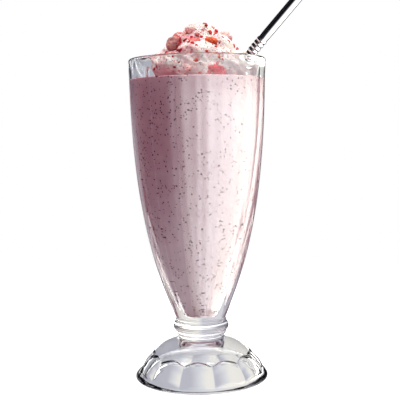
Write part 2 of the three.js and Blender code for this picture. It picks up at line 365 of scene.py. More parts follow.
@dataclass(frozen=True)
class PressedGlass:
    """Soda lime glass, pressed in a mould and fire polished: clear, wet-looking, with faint waves."""

    tint: str = "F6F8FA"
    shadow_tint: str = "F4F4F6"
    ior: float = 1.5
    wave_mm: float = 14.0
    wave_depth_mm: float = 0.05

    def build(self) -> Material:
        """Builds the material, which lets lamps through to the drink behind it.

        Returns:
            The material.
        """
        material, tree, spot = new_material("soda_lime_glass")
        waves = bumped(tree, speckle(tree, spot, self.wave_mm, 1.0), self.wave_depth_mm, 1.0)
        glass = add_node(tree, "ShaderNodeBsdfPrincipled", {
            "Base Color": linear(self.tint), "Roughness": 0.0, "IOR": self.ior,
            "Transmission Weight": 1.0, "Normal": waves})
        clear = add_node(tree, "ShaderNodeBsdfTransparent", {"Color": linear(self.shadow_tint)})
        path = add_node(tree, "ShaderNodeLightPath").outputs
        lamps = maths(tree, "MAXIMUM", path["Is Shadow Ray"], path["Is Diffuse Ray"])
        cover_in_part(tree, lamps, glass, clear)
        return material


@dataclass(frozen=True)
class BlendedMilk:
    """Milk and ice cream blended with strawberries: dense, milky, softly mottled.

    Its coat is stronger than a real drink's, for the white sheen on its right side.
    """

    deep: str = "B87A87"
    pale: str = "C18892"
    mottle_mm: float = 16.0
    mottle_span: tuple = (0.35, 0.65)
    pulp: str = "B87684"
    pulp_mm: float = 2.1
    pulp_edge: tuple = (0.12, 0.2)
    pulp_share: float = 0.5
    coat_roughness: float = 0.22
    coat_ior: float = 3.0
    soft_mm: float = 2.5

    def build(self) -> Material:
        """Builds the material.

        Returns:
            The material.
        """
        material, tree, spot = new_material("blended_milk_and_strawberry")
        mottle = ranged(tree, speckle(tree, spot, self.mottle_mm, 4.0, 0.6), *self.mottle_span)
        tone = blend(tree, mottle, self.deep, self.pale)
        grains = ranged(tree, cells(tree, spot, self.pulp_mm), *self.pulp_edge, self.pulp_share, 0.0)
        cover(tree, {
            "Base Color": blend(tree, grains, tone, self.pulp), "Roughness": 0.5, "IOR": 1.35,
            "Specular IOR Level": 0.3, "Coat Weight": 1.0, "Coat Roughness": self.coat_roughness,
            "Coat IOR": self.coat_ior, "Subsurface Weight": 0.55, "Subsurface Radius": (1.0, 0.55, 0.6),
            "Subsurface Scale": self.soft_mm * MM})
        return material


@dataclass(frozen=True)
class WhippedDairy:
    """Whipped cream: fat and air, so it is matt, bright and soft, stained pink under the fruit.

    The stain is stronger low on the mound, where it soaks up the drink. It fades out on
    the right, over a stretch measured from the glass's axis; the stain is real, but its fading
    out there is painted light, which makes the lit right side brighter.
    """

    body: str = "F7EFE8"
    stain: str = "D0868F"
    stain_mm: float = 11.0
    stain_span: tuple = (0.41, 0.62)
    most_stain: float = 0.9
    soaked_mm: tuple = (190.0, 202.0)
    soaked_share: float = 0.16
    # Painted light: where the real stain fades out on the lit right side, and how much of it stays there.
    lit_side_fade_mm: tuple = (-6.0, 3.0)
    lit_side_stain_share: float = 0.15
    grain_mm: float = 1.1
    grain_depth_mm: float = 0.15
    soft_mm: float = 2.0

    def build(self) -> Material:
        """Builds the material.

        Returns:
            The material.
        """
        material, tree, spot = new_material("whipped_cream")
        axes = add_node(tree, "ShaderNodeSeparateXYZ", {0: spot}).outputs
        soaked = ranged(tree, axes[2], *(z * MM for z in self.soaked_mm), self.soaked_share, 0.0)
        # Painted light: the real stain fades out towards the right, so the lit right side reads brighter.
        stain_fading_on_lit_side = ranged(tree, axes[0], *(AXIS.x + x * MM for x in self.lit_side_fade_mm), 1.0, self.lit_side_stain_share)
        raised = maths(tree, "ADD", speckle(tree, spot, self.stain_mm, 5.0, 0.65), soaked)
        stained = ranged(tree, raised, *self.stain_span, 0.0, self.most_stain)
        grain = bumped(tree, speckle(tree, spot, self.grain_mm, 3.0), self.grain_depth_mm, 0.6)
        cover(tree, {
            "Base Color": blend(tree, maths(tree, "MULTIPLY", stained, stain_fading_on_lit_side), self.body, self.stain),
            "Roughness": 0.6, "Specular IOR Level": 0.12, "Normal": grain, "Subsurface Weight": 0.7,
            "Subsurface Radius": (1.0, 0.75, 0.6), "Subsurface Scale": self.soft_mm * MM})
        return material


@dataclass(frozen=True)
class StrawberryFlesh:
    """Crushed strawberry: moist red skin with seeds on one side, paler flesh where it is torn.

    With a middle, the flesh lies on the side that the cut faces, over a stretch given in
    shares of the reach.
    """

    name: str
    skin: str
    flesh: str
    seed: str = "5A141C"
    seed_mm: float = 2.0
    seed_edge: tuple = (0.17, 0.24)
    patch_mm: float = 3.0
    torn_span: tuple = (0.42, 0.58)
    pore_mm: float = 0.55
    pore_depth_mm: float = 0.2
    middle: Optional[Vector] = None
    cut: tuple = (0.0, 0.0, 1.0)
    cut_span: tuple = (-0.2, 0.5)
    cut_pull: tuple = (-0.2, 0.22)
    reach_mm: float = 4.0
    soft_mm: float = 1.0

    def build(self) -> Material:
        """Builds the material.

        Returns:
            The material.
        """
        material, tree, spot = new_material(self.name)
        torn = speckle(tree, spot, self.patch_mm, 4.0, 0.7)
        if self.middle is not None:
            off = vector_maths(tree, "SUBTRACT", spot, tuple(self.middle))
            facing = vector_maths(tree, "DOT_PRODUCT", off, tuple(Vector(self.cut).normalized()))
            span = (share * self.reach_mm * MM for share in self.cut_span)
            torn = maths(tree, "ADD", torn, ranged(tree, facing, *span, *self.cut_pull))
        tone = blend(tree, ranged(tree, torn, *self.torn_span), self.skin, self.flesh)
        seeds = ranged(tree, cells(tree, spot, self.seed_mm), *self.seed_edge, 1.0, 0.0)
        pores = bumped(tree, cells(tree, spot, self.pore_mm), self.pore_depth_mm, 0.7)
        cover(tree, {
            "Base Color": blend(tree, seeds, tone, self.seed), "Roughness": 0.5,
            "Specular IOR Level": 0.15, "Normal": pores, "Subsurface Weight": 0.3,
            "Subsurface Radius": (1.0, 0.35, 0.3), "Subsurface Scale": self.soft_mm * MM})
        return material


@dataclass(frozen=True)
class StrawberrySeed:
    """Strawberry seeds and skin specks in the blend: dark brown red, with hardly any gloss."""

    light: str = "7A3A40"
    dark: str = "3C1820"
    tone_mm: float = 4.0
    tone_span: tuple = (0.4, 0.6)

    def build(self) -> Material:
        """Builds the material.

        Returns:
            The material.
        """
        material, tree, spot = new_material("strawberry_seed")
        share = ranged(tree, speckle(tree, spot, self.tone_mm), *self.tone_span)
        tone = blend(tree, share, self.dark, self.light)
        cover(tree, {"Base Color": tone, "Roughness": 0.8, "Specular IOR Level": 0.05})
        return material


@dataclass(frozen=True)
class PolishedSteel:
    """Drawn stainless steel tube, polished: a mirror with faintly uneven gloss."""

    body: str = "D6D7D8"
    grain_mm: float = 0.35
    grain_span: tuple = (0.3, 0.7)
    roughness: tuple = (0.05, 0.11)

    def build(self) -> Material:
        """Builds the material.

        Returns:
            The material.
        """
        material, tree, spot = new_material("polished_stainless_steel")
        rough = ranged(tree, speckle(tree, spot, self.grain_mm), *self.grain_span, *self.roughness)
        cover(tree, {"Base Color": linear(self.body), "Metallic": 1.0, "Roughness": rough})
        return material


@dataclass
class SodaGlass:
    """The pressed glass: panelled bowl, beads, and a petalled foot with a hollow below."""

    rim_height: float = 203.2
    rim_radius: float = 43.1
    wall: float = 2.9
    bowl_foot: tuple = (15.6, 38.2)
    bowl_belly: tuple = (27.8, 66.9)
    bowl_straight: float = 107.0
    inner_belly: tuple = (19.5, 75.0)
    inner_straight: float = 118.0
    floor_height: float = 41.8
    floor_radius: float = 6.8
    floor_round: float = 2.8
    bead_radius: float = 17.8
    bead_height: float = 33.6
    bead_round: float = 3.2
    collar_radius: float = 15.2
    collar_round: float = 1.1
    collar_heights: tuple = (29.6, 37.3)
    neck: tuple = (14.4, 28.0)
    neck_handles: tuple = ((14.2, 25.3), (13.9, 27.0))
    foot_top: tuple = (16.4, 25.0)
    foot_handles: tuple = ((26.2, 22.4), (35.5, 14.9))
    foot_radius: float = 42.5
    foot_edge: float = 1.6
    contact: tuple = (37.0, 40.0)
    edge_handles: tuple = ((41.8, 0.0), (42.5, 0.5))
    hollow: float = 21.0
    hollow_handles: tuple = ((14.0, 21.0), (31.0, 17.0))
    band: float = 0.35
    band_foot: tuple = (3.0, 3.6)
    band_top: tuple = (4.0, 8.0)
    panels: int = 16
    panel_ridge: float = 3.5
    panel_fade_top: tuple = (192.0, 198.5)
    panel_fade_foot: tuple = (41.0, 50.0)
    petals: int = 12
    petal_ridge: float = 11.0
    petal_arch: tuple = (31.0, 16.8)
    petal_cusp: tuple = (33.4, 14.3)
    petal_fade: tuple = (2.2, 5.8)
    petal_curve: float = 1.6
    petal_step: float = 0.45
    step_rise: float = 0.35
    step_fade: tuple = (1.0, 5.0)
    ridge_cap: float = 0.9962
    copies: int = 336

    def azimuths(self) -> Array:
        """Gives azimuths with one on every ridge of the panels and the petals."""
        return self.panel_ridge + np.arange(self.copies) * 360 / self.copies

    def facet(self, azimuths: Array, ridge: float, count: int) -> Array:
        """Gives the angle from the middle of each azimuth's facet, in radians."""
        width = 360 / count
        return np.radians(np.mod(azimuths - ridge, width) - width / 2)

    def panelled(self, radii: Array, heights: Array, azimuths: Array) -> Array:
        """Turns the bowl's round radius into its panels, faded out at the lip and the beads.

        Args:
            radii: Round radii.
            heights: Their heights.
            azimuths: Their azimuths in degrees.

        Returns:
            The panels' radii.
        """
        angle = self.facet(azimuths, self.panel_ridge, self.panels)
        flat = np.minimum(radii * math.cos(math.pi / self.panels) / np.cos(angle), radii * self.ridge_cap)
        share = smoothstep(heights, *self.panel_fade_foot) * (1 - smoothstep(heights, *self.panel_fade_top))
        return radii + (flat - radii) * share

    def petalled(self, radii: Array, heights: Array, azimuths: Array) -> Array:
        """Turns the foot's round radius into petals that end in arches, with a step under them.

        Args:
            radii: Round radii.
            heights: Their heights.
            azimuths: Their azimuths in degrees.

        Returns:
            The petals' radii.
        """
        middle = math.cos(math.pi / self.petals)
        angle = self.facet(azimuths, self.petal_ridge, self.petals)
        flat = radii * middle / np.cos(angle)
        below = radii + (flat - radii) * smoothstep(heights, *self.petal_fade)
        rise = (heights - self.petal_cusp[1]) / (self.petal_arch[1] - self.petal_cusp[1])
        plane = self.petal_cusp[0] * middle + (self.petal_arch[0] - self.petal_cusp[0] * middle) * rise
        above = np.minimum(radii, plane / np.cos(angle))
        lift = np.abs(angle) / (math.pi / self.petals)
        edge = self.petal_arch[1] + (self.petal_cusp[1] - self.petal_arch[1]) * lift ** self.petal_curve
        under = edge - heights
        step = smoothstep(under, -self.step_rise, self.step_rise) * (1 - smoothstep(under, *self.step_fade))
        band = smoothstep(heights, *self.band_foot) * (1 - smoothstep(heights, *self.band_top))
        petals = np.where(heights <= self.petal_cusp[1], below, above)
        return petals - self.petal_step * step - self.band * band

    def inner_wall(self, inset: float, count: int) -> Array:
        """Gives the bowl's inner profile from the axis to the lip.

        Args:
            inset: How much smaller than the bowl it is.
            count: Steps up the wall.

        Returns:
            One row of radius and height for each point.
        """
        edge = self.floor_radius - inset
        inner = self.rim_radius - self.wall - inset
        low = self.floor_height + inset + self.floor_round
        corner = arc(edge - self.floor_round, low, self.floor_round, -90, -20, 10)
        wall = cubic(
            tuple(corner[-1]), (self.inner_belly[0] - inset, self.inner_belly[1]),
            (inner, self.inner_straight), (inner, self.rim_height - self.wall / 2), count)
        floor = np.array([[r, corner[0][1]] for r in np.linspace(0, corner[0][0], 4)])
        return np.concatenate([floor[:-1], corner[:-1], wall])

    def build(self, material: Material) -> Object:
        """Builds the glass as one closed shell.

        Args:
            material: Its material.

        Returns:
            The glass.
        """
        lip = self.wall / 2
        brim = (self.rim_radius, self.rim_height - lip)
        rim = (self.foot_radius, self.foot_edge)
        low_collar, high_collar = self.collar_heights
        straight = (self.rim_radius, self.bowl_straight)
        stretches = [
            (cubic((0, self.hollow), *self.hollow_handles, (self.contact[0], 0), 40), None),
            (cubic((self.contact[1], 0), *self.edge_handles, rim, 6)[:-1], None),
            (cubic(self.foot_top, *self.foot_handles, rim, 104)[:0:-1], self.petalled),
            (cubic(self.foot_top, *self.neck_handles, self.neck, 8), None),
            (arc(self.collar_radius, low_collar, self.collar_round, -50, 30, 6), None),
            (arc(self.bead_radius - self.bead_round, self.bead_height, self.bead_round, -70, 70, 18), None),
            (arc(self.collar_radius, high_collar, self.collar_round, -30, 40, 6), None),
            (cubic(brim, straight, self.bowl_belly, self.bowl_foot, 50)[:0:-1], self.panelled),
            (arc(self.rim_radius - lip, brim[1], lip, 0, 180, 14)[:-1], None),
            (self.inner_wall(0, 34)[::-1], None),
        ]
        glass = revolve("pressed_glass", stretches, self.azimuths(), material)
        dress(glass, "glass", "glass")
        return glass


@dataclass
class Milkshake:
    """The drink: it fills the bowl up to its level, and climbs the wall a little there."""

    level: float = 189.7
    reach_into_wall: float = 0.35
    meniscus: float = 0.9
    meniscus_handles: tuple = ((0.5, 0.2), (1.4, 0.05))
    meniscus_width: float = 3.0
    flat_inset: float = 5.0
    fine_depth: float = 2.5
    fine_gap: float = 0.12
    coarse_depth: float = 3.0
    copies: int = 192

    def build(self, glass: SodaGlass, material: Material) -> Object:
        """Builds the drink inside a glass.

        The rows of points are close together near the level, so that its edge is shaded crisply.

        Args:
            glass: The glass that it fills.
            material: Its material.

        Returns:
            The drink.
        """
        wall = glass.inner_wall(-self.reach_into_wall, 60)
        inner = float(wall[-1][0])
        top = self.level + self.meniscus
        heights = np.linspace(self.level - self.fine_depth, top - self.fine_gap, 7)
        edge = np.stack([np.interp(heights, wall[:, 1], wall[:, 0]), heights], 1)
        side = np.concatenate([wall[wall[:, 1] < self.level - self.coarse_depth], edge])
        (high_in, drop), (low_in, lift) = self.meniscus_handles
        rise = cubic(
            (inner, top), (inner - high_in, top - drop), (inner - low_in, self.level + lift),
            (inner - self.meniscus_width, self.level), 6)
        flat = np.array([[r, self.level] for r in np.linspace(inner - self.flat_inset, 0, 10)])
        azimuths = np.arange(self.copies) * 360 / self.copies
        drink = revolve("milkshake_drink", [(np.concatenate([side, rise, flat]), None)], azimuths, material)
        dress(drink, "milkshake", "milkshake")
        return drink


@dataclass
class Scatter:
    """Small grains, half let into a surface, made by Geometry Nodes with a fixed seed.

    The grains lie in clumps. Away from the dense side there are fewer: its length is the
    share that is missing at the dense reach from the glass's axis.
    """

    name: str
    per_square_metre: float
    size_mm: tuple
    stretch: tuple
    seed: int
    facing: tuple = (-1.0, 1.0)
    detail: int = 1
    dense_side: tuple = (0.0, 0.0, 0.0)
    dense_reach_mm: float = 20.0
    clump_mm: float = 12.0
    clump_span: tuple = (0.3, 0.7)
    clump_share: tuple = (0.1, 1.9)
    spin_seed: int = 7

    def tree(self) -> Tree:
        """Builds the tree, whose inputs are the scatter's sizes.

        Returns:
            The tree.
        """
        tree = bpy.data.node_groups.new(self.name, "GeometryNodeTree")
        kinds = {
            "Geometry": "Geometry", "Density": "Float", "Smallest": "Float", "Largest": "Float",
            "Facing Low": "Float", "Facing High": "Float", "Stretch": "Vector", "Dense Side": "Vector",
            "Middle": "Vector", "Seed": "Int", "Material": "Material"}
        for label, kind in kinds.items():
            tree.interface.new_socket(label, in_out="INPUT", socket_type=f"NodeSocket{kind}")
        tree.interface.new_socket("Geometry", in_out="OUTPUT", socket_type="NodeSocketGeometry")
        given = add_node(tree, "NodeGroupInput").outputs
        normal = add_node(tree, "GeometryNodeInputNormal").outputs[0]
        up = add_node(tree, "ShaderNodeSeparateXYZ", {0: normal}).outputs[2]
        above = add_node(
            tree, "FunctionNodeCompare", {0: up, 1: given["Facing Low"]}, operation="GREATER_EQUAL")
        below = add_node(
            tree, "FunctionNodeCompare", {0: up, 1: given["Facing High"]}, operation="LESS_EQUAL")
        both = add_node(
            tree, "FunctionNodeBooleanMath", {0: above.outputs[0], 1: below.outputs[0]}, operation="AND")
        spot = add_node(tree, "GeometryNodeInputPosition").outputs[0]
        clumps = ranged(tree, speckle(tree, spot, self.clump_mm), *self.clump_span, *self.clump_share)
        off = vector_maths(tree, "SUBTRACT", spot, given["Middle"])
        side = vector_maths(tree, "DOT_PRODUCT", off, given["Dense Side"])
        thick = maths(tree, "MULTIPLY", clumps, maths(tree, "ADD", side, 1.0, clamp=True))
        spread = add_node(tree, "GeometryNodeDistributePointsOnFaces", {
            "Mesh": given["Geometry"], "Selection": both.outputs[0], "Seed": given["Seed"],
            "Density": maths(tree, "MULTIPLY", thick, given["Density"])},
            distribute_method="RANDOM").outputs
        size = add_node(tree, "FunctionNodeRandomValue", {
            2: given["Smallest"], 3: given["Largest"], "Seed": given["Seed"]})
        spin = add_node(tree, "FunctionNodeRandomValue", {2: 0.0, 3: 2 * math.pi, "Seed": self.spin_seed})
        about = add_node(tree, "ShaderNodeCombineXYZ", {2: spin.outputs[1]})
        turned = add_node(tree, "FunctionNodeRotateRotation", {
            0: spread["Rotation"], 1: about.outputs[0]}, rotation_space="LOCAL")
        grain = add_node(tree, "GeometryNodeMeshIcoSphere", {"Radius": 0.5, "Subdivisions": self.detail})
        laid = add_node(tree, "GeometryNodeInstanceOnPoints", {
            "Points": spread["Points"], "Instance": grain.outputs["Mesh"], "Rotation": turned.outputs[0],
            "Scale": vector_maths(tree, "SCALE", given["Stretch"], size.outputs[1])})
        real = add_node(tree, "GeometryNodeRealizeInstances", {0: laid.outputs[0]})
        dressed = add_node(tree, "GeometryNodeSetMaterial", {
            "Geometry": real.outputs[0], "Material": given["Material"]})
        add_node(tree, "NodeGroupOutput", {0: dressed.outputs[0]})
        return tree

    def build(self, surface: Object, material: Material) -> Object:
        """Scatters the grains over a surface.

        Args:
            surface: The piece that they lie on, which stays as it is.
            material: The grains' material.

        Returns:
            The grains as one plain mesh.
        """
        host = shown(self.name + "_host", surface.data.copy())
        modifier = host.modifiers.new("scatter", "NODES")
        modifier.node_group = self.tree()
        low, high = (size * MM for size in self.size_mm)
        values = {
            "Density": self.per_square_metre, "Smallest": low, "Largest": high,
            "Facing Low": self.facing[0], "Facing High": self.facing[1], "Stretch": self.stretch,
            "Dense Side": tuple(a / (self.dense_reach_mm * MM) for a in self.dense_side),
            "Middle": tuple(AXIS), "Seed": self.seed, "Material": material}
        for item in modifier.node_group.interface.items_tree:
            if item.in_out == "INPUT" and item.name in values:
                modifier[item.identifier] = values[item.name]
        return bake_nodes(host, self.name, material)


@dataclass
class WhippedCream:
    """The mound of whipped cream: soft lobes, joined smoothly, with folds and fine ripples.

    Each lobe is a ball, given by its middle's x, y and z and its radius.
    """

    centre: tuple = (2.0, 0.0, 190.0)
    sharpness: float = 16.0
    lobes: tuple = (
        (2, 1, 196, 23.5), (2.5, 0, 213.5, 11.5),
        (-18.5, -8, 197, 10.6), (-14, -15.5, 197, 9.8), (-4.5, -19, 203, 8.8), (5, -19.5, 203, 8.6),
        (-4.5, -22.5, 194.5, 7.4), (5.5, -23.5, 194.5, 7.2), (16, -20, 197.5, 9.8),
        (26, -9, 197.5, 10.4), (24, 9, 197.5, 11), (8, 22, 197, 11.6), (-10, 19, 198, 11.2),
        (-19, 7, 197, 10), (-9.5, -8, 207.5, 9.6), (11, -10, 207, 9.6), (13.5, 6, 208.5, 10),
        (-5, 9, 209, 10.2),
    )
    around: int = 300
    rings: int = 110
    twist: float = 1.6
    upright: float = 1.5
    fold: float = 1.3
    fold_scale: float = 2.6
    ripple: float = 0.45
    ripple_scale: float = 8.0
    skirt: float = 0.9

    def reach(self, ways: Array) -> Array:
        """Gives how far the mound reaches from its centre.

        Args:
            ways: One unit direction in each row.

        Returns:
            The distances in millimetres.
        """
        total = np.zeros(len(ways))
        for x, y, z, radius in self.lobes:
            offset = np.array((x, y, z), float) - np.array(self.centre)
            along = ways @ offset
            beside = offset @ offset - along ** 2
            total += np.maximum(along + np.sqrt(np.maximum(radius ** 2 - beside, 0)), 0) ** self.sharpness
        return total ** (1 / self.sharpness)

    def spot(self, azimuth: float, elevation: float, proud: float, fine: bool) -> Array:
        """Gives a point above the mound.

        Args:
            azimuth: Its azimuth in degrees.
            elevation: Its elevation from the mound's centre, in degrees.
            proud: How far above the surface it is.
            fine: Whether the folds and ripples count.

        Returns:
            The point in millimetres.
        """
        way = way_of(azimuth, elevation)
        far = self.reach(way[None])[0] + proud + (self.relief(way) if fine else 0.0)
        return way * far + np.array(self.centre)

    def relief(self, way: Array) -> float:
        """Gives the folds and ripples, which twist as they rise.

        Args:
            way: A unit direction from the centre.

        Returns:
            How far they stand out there, in millimetres.
        """
        turn = self.twist * way[2]
        twisted = Vector((
            way[0] * math.cos(turn) - way[1] * math.sin(turn),
            way[0] * math.sin(turn) + way[1] * math.cos(turn), way[2] * self.upright))
        folds = 1 - abs(noise.noise(twisted * self.fold_scale)) * 2
        ripples = noise.fractal(twisted * self.ripple_scale, 0.8, 2.0, 4)
        return self.fold * (folds - 0.5) + self.ripple * ripples

    def build(self, material: Material) -> Object:
        """Builds the mound, with a skirt that goes down into the drink.

        Args:
            material: Its material.

        Returns:
            The mound.
        """
        turns = np.radians(np.arange(self.around) * 360 / self.around)
        lifts = np.radians(np.linspace(0, 90, self.rings + 1))[:-1]
        ways = np.array([
            (math.sin(t) * math.cos(e), -math.cos(t) * math.cos(e), math.sin(e))
            for e in lifts for t in turns] + [(0.0, 0.0, 1.0)])
        far = self.reach(ways) + np.array([self.relief(way) for way in ways])
        centre = np.array(self.centre)
        dome = ways * far[:, None] + centre
        skirt = dome[:self.around].copy()
        skirt[:, 2] -= self.skirt
        points = np.concatenate([skirt, dome, [[centre[0], centre[1], centre[2] - self.skirt]]])
        top, bottom = len(points) - 2, len(points) - 1
        highest = self.rings * self.around
        faces = []
        for i in range(self.around):
            j = (i + 1) % self.around
            faces.extend(column_faces(i, self.rings + 1, self.around, 0))
            faces.append((highest + i, highest + j, top))
            faces.append((bottom, j, i))
        cream = make_object("whipped_cream_mound", points, faces, material)
        dress(cream, "whipped_cream", "whipped_cream")
        return cream


class Shade(Enum):
    """The colours of the strawberry pieces and crumbs: skin, then flesh."""

    DARK = ("8A1020", "B03038")
    RED = ("B80C26", "DC3848")
    BRIGHT = ("DC0430", "E81E50")
    ORANGE = ("C82C1C", "EE7048")
    PINK = ("C04448", "D8807C")
    PALE = ("EC9890", "FCCCC6")
    DUSKY = ("A8142A", "C88A86")


@dataclass(frozen=True)
class Piece:
    """One strawberry piece: where the CAD source lays it, its size, and how it is coloured."""

    azimuth: float
    elevation: float
    size: tuple
    proud: float
    shade: Shade
    cut: tuple = (0.0, -0.5, 0.8)


PIECES = (
    Piece(316, 43.5, (10.8, 9.8, 7.6), 0.6, Shade.DUSKY, (-0.7, -0.6, 0.1)),
    Piece(318, 75, (8.6, 7.6, 6.0), -0.4, Shade.PALE),
    Piece(346, 54, (9.0, 9.6, 5.0), -0.6, Shade.PINK, (-0.2, -0.9, 0.4)),
    Piece(19, 45, (8.4, 5.8, 5.2), 0.6, Shade.ORANGE),
    Piece(19.5, 7.5, (12.5, 6.2, 6.2), 0.3, Shade.BRIGHT, (0.6, -0.3, -0.7)),
    Piece(118, 56, (9.6, 8.4, 6.4), 0.6, Shade.PALE),
    Piece(196, 40, (10.4, 8.0, 6.8), 0.6, Shade.DARK),
    Piece(246, 62, (8.6, 7.0, 6.0), 0.6, Shade.PINK),
)


@dataclass
class StrawberryPieces:
    """The strawberry pieces: each CAD lump made fine, rough and torn."""

    cuts: int = 6
    rounding: float = 0.7
    roughness: float = 0.6
    rough_scale: float = 0.45
    tear: float = 0.5
    tear_scale: float = 1.1
    weld_m: float = 1e-5

    def build(self) -> list[Object]:
        """Builds one piece over each node.

        Returns:
            The pieces.
        """
        made = []
        for number, piece in enumerate(PIECES, 1):
            node = f"strawberry_piece_{number}"
            low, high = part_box(node)
            material = StrawberryFlesh(
                f"strawberry_{piece.shade.name.lower()}_{number}", *piece.shade.value,
                middle=(low + high) / 2, cut=piece.cut, reach_mm=piece.size[0] / 2).build()
            lump = bmesh.new()
            lump.from_mesh(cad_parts[node].data)
            bmesh.ops.remove_doubles(lump, verts=lump.verts, dist=self.weld_m)
            bmesh.ops.subdivide_edges(
                lump, edges=lump.edges, cuts=self.cuts, use_grid_fill=True, smooth=self.rounding)
            lump.normal_update()
            for vert in lump.verts:
                spot = vert.co / MM
                rough = noise.fractal(spot * self.rough_scale, 0.7, 2.1, 5) * self.roughness
                torn = abs(noise.noise(spot * self.tear_scale)) * self.tear
                vert.co += vert.normal * (rough - torn) * MM
            mesh = bpy.data.meshes.new(f"strawberry_chunk_{number}")
            lump.to_mesh(mesh)
            lump.free()
            mesh.shade_smooth()
            mesh.materials.append(material)
            chunk = shown(mesh.name, mesh)
            dress(chunk, "strawberry", node)
            made.append(chunk)
        return made


@dataclass(frozen=True)
class Crumb:
    """One crumb on the cream."""

    azimuth: float
    elevation: float
    size: float
    shade: Shade
    stretch: tuple = (1.0, 0.8, 0.7)
    turn: float = 0.0


@dataclass
class Crumbs:
    """Strawberry crumbs: those that the CAD source lays, and smaller ones seen in the photograph.

    The source draws a crumb's azimuth, elevation and size, then its shape, then its turn.
    """

    seed: int = 5
    factor: int = 1664525
    shift: int = 1013904223
    span: int = 2 ** 32
    count: int = 32
    sizes: tuple = (1.5, 3.0)
    lowest: float = 12.0
    climb: float = 74.0
    shape_draws: int = 12
    clearance: float = 1.0
    proud: float = 0.1
    lumpiness: tuple = (0.5, 0.22)
    kinds: tuple = (Shade.RED, Shade.PINK, Shade.DARK, Shade.PALE, Shade.ORANGE)
    seen: tuple = (
        Crumb(29, 76, 2.2, Shade.DARK), Crumb(35, 59, 2.0, Shade.BRIGHT, (1.0, 0.5, 0.5), 20),
        Crumb(41, 61, 2.2, Shade.RED, (1.0, 0.45, 0.5), 110),
        Crumb(30, 62, 1.8, Shade.BRIGHT, (1.0, 0.5, 0.5), 70), Crumb(98, 45, 2.6, Shade.ORANGE),
        Crumb(-11, 40, 2.4, Shade.RED), Crumb(-5, 37, 1.5, Shade.DARK),
        Crumb(25, 23, 2.3, Shade.RED), Crumb(21, 20, 1.8, Shade.ORANGE), Crumb(24, 17, 1.5, Shade.PINK),
        Crumb(19, 15, 2.4, Shade.RED, (1.0, 0.5, 0.5), 50), Crumb(15, 12, 1.7, Shade.ORANGE),
        Crumb(12, 8, 2.0, Shade.RED), Crumb(9, 5, 2.4, Shade.BRIGHT), Crumb(7, 2.5, 2.6, Shade.RED),
        Crumb(-28, 51, 3.4, Shade.DARK, (1.0, 0.32, 0.4), 30), Crumb(-53, 67, 3.2, Shade.PALE),
        Crumb(-42, 70, 2.6, Shade.PINK), Crumb(-25, 30, 2.6, Shade.DARK), Crumb(-30, 32, 2.0, Shade.RED),
        Crumb(-38, 26, 2.8, Shade.PINK), Crumb(-34, 23, 1.6, Shade.BRIGHT),
        Crumb(-56, 14, 2.2, Shade.DARK, (1.0, 0.4, 0.5), 70), Crumb(-60, 11, 1.8, Shade.DARK),
        Crumb(-31, 12, 1.3, Shade.DARK), Crumb(-26, 8, 1.3, Shade.RED),
        Crumb(-13, 9, 4.4, Shade.PALE, (1.0, 0.7, 0.5)), Crumb(-18, 3.5, 1.4, Shade.RED),
        Crumb(0, 5, 1.5, Shade.PINK), Crumb(-56, 56, 3.0, Shade.PINK), Crumb(-62, 60, 2.2, Shade.PALE),
        Crumb(34, 45, 1.5, Shade.DARK), Crumb(21, 35, 1.8, Shade.RED), Crumb(8, 28, 1.6, Shade.RED),
        Crumb(1, 25, 1.4, Shade.PINK), Crumb(12, 72, 2.4, Shade.PALE), Crumb(-7, 66, 3.2, Shade.PINK),
        Crumb(-22, 62, 2.4, Shade.RED), Crumb(-26, 17, 1.2, Shade.DARK), Crumb(5, 62, 2.0, Shade.RED),
        Crumb(-48, 30, 1.8, Shade.RED), Crumb(-20, 45, 1.6, Shade.PALE),
    )

    def laid(self, cream: WhippedCream) -> list[Crumb]:
        """Works out the crumbs of the CAD source, by the same draws.

        Args:
            cream: What they lie on.

        Returns:
            The crumbs.
        """
        state = self.seed

        def draw() -> float:
            """Gives the next number from 0 to 1."""
            nonlocal state
            state = (state * self.factor + self.shift) % self.span
            return state / self.span

        pieces = [
            (cream.spot(piece.azimuth, piece.elevation, piece.proud, False), max(piece.size) / 2)
            for piece in PIECES]
        crumbs = []
        while len(crumbs) < self.count:
            azimuth = 360 * draw()
            elevation = self.lowest + self.climb * math.sqrt(draw())
            size = self.sizes[0] + (self.sizes[1] - self.sizes[0]) * draw()
            for _ in range(self.shape_draws):
                draw()
            turn = 360 * draw()
            spot = cream.spot(azimuth, elevation, self.proud, False)
            gaps = [np.linalg.norm(middle - spot) - (reach + size) for middle, reach in pieces]
            if min(gaps) >= self.clearance:
                shade = self.kinds[len(crumbs) % len(self.kinds)]
                crumbs.append(Crumb(azimuth, elevation, size, shade, turn=turn))
        return crumbs

    def lump(self, crumb: Crumb, cream: WhippedCream, number: int) -> tuple[Array, list]:
        """Builds one crumb.

        Args:
            crumb: Which one.
            cream: What it lies on.
            number: Its number, which sets its roughness.

        Returns:
            Its points and faces.
        """
        ball = bmesh.new()
        bmesh.ops.create_icosphere(ball, subdivisions=3, radius=0.5)
        out = way_of(crumb.azimuth, crumb.elevation)
        turned = Quaternion((0, 0, 1), math.radians(crumb.turn))
        stand = Vector((0, 0, 1)).rotation_difference(Vector(out)) @ turned
        middle = cream.spot(crumb.azimuth, crumb.elevation, self.proud, True)
        coarse, fine = self.lumpiness
        points = []
        for vert in ball.verts:
            seed = vert.co.normalized() * 1.3 + Vector((number * 3.1, 0, 0))
            rough = 1 + coarse * noise.noise(seed) + fine * noise.noise(seed * 3.1)
            sized = Vector([c * rough * crumb.size * k for c, k in zip(vert.co, crumb.stretch)])
            points.append(np.array(stand @ sized) + middle)
        faces = [[v.index for v in face.verts] for face in ball.faces]
        ball.free()
        return np.array(points), faces

